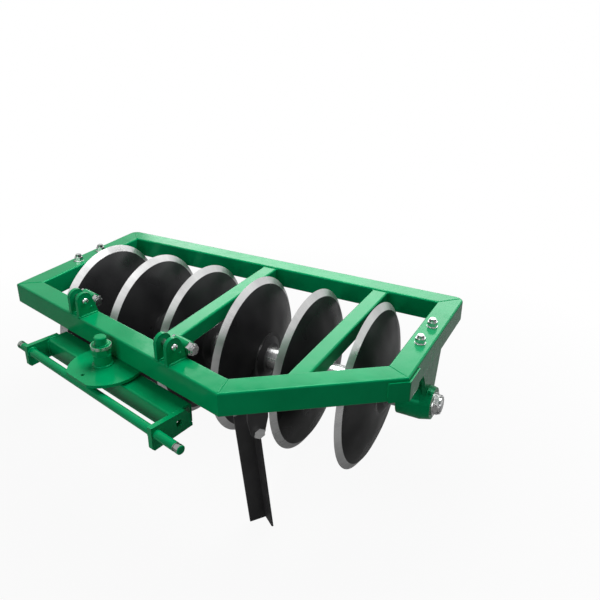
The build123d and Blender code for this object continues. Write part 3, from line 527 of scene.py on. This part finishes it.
# A fillet weld holds the kingpin's boss to the upper plate.
boss_bead = 0.0052
boss_bead_off = 0.001
boss_low, boss_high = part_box("kingpin_boss")
boss_radius = (boss_high.x - boss_low.x) / 2
boss_foot = Vector((boss_low.x + boss_radius, (boss_low.y + boss_high.y) / 2, boss_low.z + boss_bead_off))
weld_round("weld_boss", boss_foot, up, boss_radius + boss_bead_off, boss_bead, "frame")

# Each end plate is welded to the channel's end along its front and its top, and to the bar inside.
channel_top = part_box("hitch_channel")[1].z - rail_top
bar_rise = bar_middle.z - rail_top
hitch_middle = 0.667
channel_half = 0.341
channel_front = -0.0692
front_bead_low = channel_top - 0.058
front_bead_high = channel_top - 0.004
end_plate_bead = 0.0048
top_bead_front = -0.062
top_bead_rear = 0.008
top_bead_rise = channel_top - 0.0005
top_bead = 0.0042
bar_ahead = -0.132
bar_bead_round = 0.0155
for side, inwards in (("left", 1), ("right", -1)):
    channel_end = hitch_middle - inwards * channel_half
    bead_run = channel_end + inwards * 0.0008
    bar_run = channel_end + inwards * 0.0005
    weld(f"weld_hitch_{side}_front", on_front_rail(bead_run, channel_front, front_bead_low),
         on_front_rail(bead_run, channel_front, front_bead_high), end_plate_bead, "hitch")
    weld(f"weld_hitch_{side}_top", on_front_rail(bead_run, top_bead_front, top_bead_rise),
         on_front_rail(bead_run, top_bead_rear, top_bead_rise), top_bead, "hitch")
    weld_round(f"weld_bar_{side}_in", on_front_rail(bar_run, bar_ahead, bar_rise), along_front,
               bar_bead_round, top_bead, "hitch")


# ---------------------------------------------------------------- studio
# A white floor and backdrop, soft lamps overhead and in front, one behind whose light shows in
# the gloss only, and the camera.
bpy.ops.mesh.primitive_plane_add(size=40, location=(0, 0, 0))
floor = bpy.context.object
floor.name = "floor"
paper, shader, add, _ = new_finish("white floor")
paper_grey = (0.24, 0.24, 0.24, 1)
shader.inputs["Base Color"].default_value = paper_grey
shader.inputs["Roughness"].default_value = 1.0
shader.inputs["Specular IOR Level"].default_value = 0.0
white_in_gloss = 0.1
white_under_harrow = 0.94
rays = add("ShaderNodeLightPath").outputs
mirrored = add("ShaderNodeMath", [(0, rays["Is Glossy Ray"]), (1, rays["Is Transmission Ray"])],
               operation="MAXIMUM")
dimmed = add("ShaderNodeMath", [(0, mirrored.outputs["Value"]), (1, white_in_gloss)],
             operation="MULTIPLY")
seen = add("ShaderNodeMath", [(0, rays["Is Camera Ray"]), (1, dimmed.outputs["Value"])],
           operation="MAXIMUM")
distance = add("ShaderNodeVectorMath", [(0, add("ShaderNodeTexCoord").outputs["Object"])],
               operation="LENGTH")
whiteness = add("ShaderNodeMapRange", [("Value", distance.outputs["Value"])], From_Min=0.9,
                From_Max=2.2, To_Min=white_under_harrow, To_Max=1.0)
share = add("ShaderNodeMath", [(0, seen.outputs["Value"]), (1, whiteness.outputs["Result"])],
            operation="MULTIPLY")
glow = add("ShaderNodeEmission", Strength=1.0)
surface = add("ShaderNodeMixShader", [("Fac", share.outputs["Value"]), (1, shader.outputs["BSDF"]),
                                      (2, glow.outputs["Emission"])])
paper_nodes = paper.node_tree.nodes
paper.node_tree.links.new(surface.outputs["Shader"], paper_nodes["Material Output"].inputs["Surface"])
floor.data.materials.append(paper)

world = bpy.data.worlds.new("studio")
bpy.context.scene.world = world
world.use_nodes = True
add = node_adder(world.node_tree)
rays = add("ShaderNodeLightPath").outputs
strength = 0.09  # what lights matt surfaces; the kinds of ray below see more
for kind, level in (("Is Glossy Ray", 0.75), ("Is Transmission Ray", 0.75), ("Is Camera Ray", 1.0)):
    level_seen = add("ShaderNodeMath", [(0, rays[kind]), (1, level)], operation="MULTIPLY")
    strength = add("ShaderNodeMath", [(0, level_seen.outputs["Value"]), (1, strength)],
                   operation="MAXIMUM").outputs["Value"]
air = world.node_tree.nodes["Background"]
air.inputs["Color"].default_value = (1, 1, 1, 1)
world.node_tree.links.new(strength, air.inputs["Strength"])

for name, width, depth, watts, location, aim, in_gloss_only in (
    ("overhead", 2.2, 2.0, 140, (0.2, 1.2, 3.2), (0, 0, 0.4), False),
    ("front", 1.6, 1.0, 21, (-0.2, -2.4, 1.3), (0, 0, 0.4), False),
    ("right", 1.6, 1.6, 5, (3.0, -0.4, 2.6), (0, 0, 0.4), False),
    ("behind", 4.0, 1.6, 62, (-1.3, 4.0, 2.5), (0.2, 0.2, 0.5), True),
):
    light = bpy.data.lights.new(name, "AREA")
    light.shape = "RECTANGLE"
    light.size = width
    light.size_y = depth
    light.energy = watts
    lamp = bpy.data.objects.new(name, light)
    bpy.context.scene.collection.objects.link(lamp)
    lamp.location = location
    lamp.rotation_euler = (Vector(aim) - Vector(location)).to_track_quat("-Z", "Y").to_euler()
    lamp.visible_camera = False
    lamp.visible_diffuse = not in_gloss_only

optics = bpy.data.cameras.new("camera")
optics.sensor_width = 36
optics.lens = 39.6
optics.shift_x = 0.0303
optics.shift_y = -0.023
down, roll, turn = (math.radians(angle) for angle in (24.23, 0.09, 28.71))
camera = bpy.data.objects.new("camera", optics)
bpy.context.scene.collection.objects.link(camera)
camera.location = (1.246, -1.70011, 1.600)
camera.rotation_euler = (math.pi / 2 - down, roll, turn)
bpy.context.scene.camera = camera
bpy.context.scene.view_settings.view_transform = "Standard"
